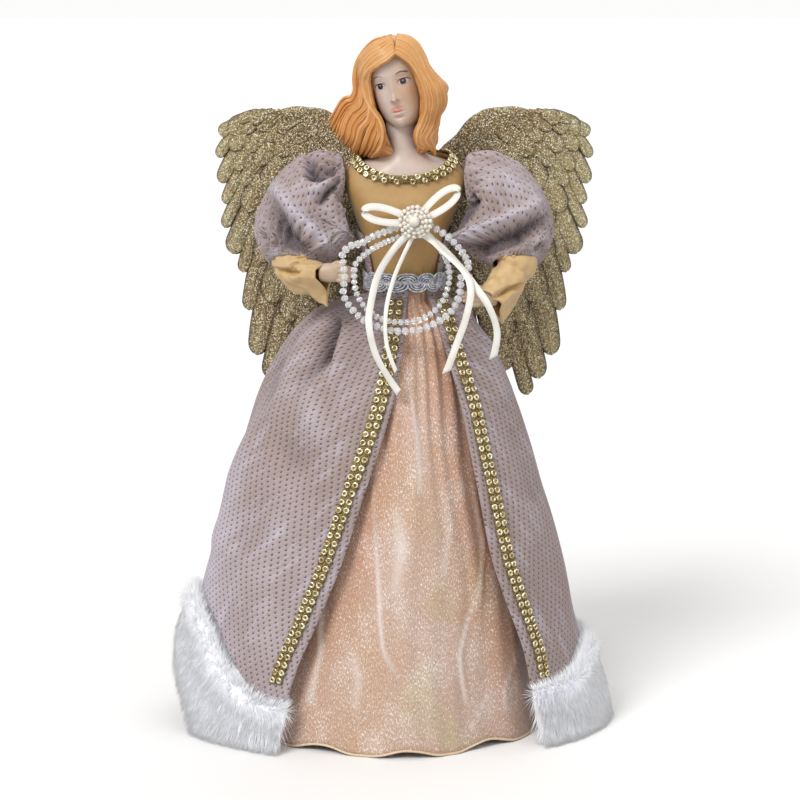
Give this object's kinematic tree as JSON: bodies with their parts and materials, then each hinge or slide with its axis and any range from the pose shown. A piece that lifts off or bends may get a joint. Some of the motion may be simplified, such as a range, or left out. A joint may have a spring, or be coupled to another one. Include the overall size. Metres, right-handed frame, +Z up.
{
  "type": "angel tree topper",
  "caption": "Standing angel tree topper: card cone dressed in layered skirts and a fur-hemmed coat, cast head and hands, feathered wings, wired arms holding a bead garland",
  "frame": {"origin": "centre of the footprint's bounding box, on the surface that the skirts and the fur stand on", "axes": "+X to the viewer's right, +Y to the back, +Z up; the figure faces -Y"},
  "size_m": [0.2549, 0.1686, 0.4047],
  "materials": {
    "card": "plain board",
    "organza": "shimmering peach organza",
    "peach_satin": "soft peach satin",
    "mauve_knit": "pinholed dusty mauve knit",
    "fur": "long white pile",
    "rhinestone_trim": "gold cups set with clear stones",
    "foam": "rigid foam",
    "gold_satin": "soft ochre satin",
    "silver_braid": "metallic blue-grey braid",
    "skin": "matte painted bisque",
    "hair": "matte painted moulding",
    "gold_glitter": "glitter over moulded feathers",
    "wire": "soft annealed wire",
    "crystal": "clear iridescent beads",
    "ribbon": "narrow white satin ribbon",
    "pearl": "pearl lustre"
  },
  "bodies": {
    "figure": {"base_cone": "card", "organza_skirt": "organza", "satin_lining": "peach_satin", "coat_skirt": "mauve_knit", "fur_band": "fur", "coat_trim_right": "rhinestone_trim", "coat_trim_left": "rhinestone_trim", "torso_core": "foam", "bodice": "gold_satin", "coat_back": "mauve_knit", "neck_trim": "rhinestone_trim", "waist_braid": "silver_braid", "head_and_bust": "skin", "moulded_hair": "hair", "wing_bridge": "card", "wing_right": "gold_glitter", "wing_left": "gold_glitter"},
    "arms": {"arm_wire": "wire", "sleeve_right": "mauve_knit", "sleeve_left": "mauve_knit", "cuff_right": "gold_satin", "cuff_left": "gold_satin", "hand_right": "skin", "hand_left": "skin", "bead_ring_outer": "crystal", "bead_ring_inner": "crystal", "ribbon_bow": "ribbon", "ribbon_tail_left": "ribbon", "ribbon_tail_inner": "ribbon", "ribbon_tail_outer": "ribbon", "ribbon_tail_right": "ribbon", "pearl_brooch": "pearl", "centre_pearl": "pearl"}
  },
  "joints": [
    {"name": "arm_swing", "type": "hinge", "parent": "figure", "child": "arms", "pos_m": [0.0065, 0, 0.315], "axis": [-1, 0, 0], "range_deg": [0, 18]}
  ]
}
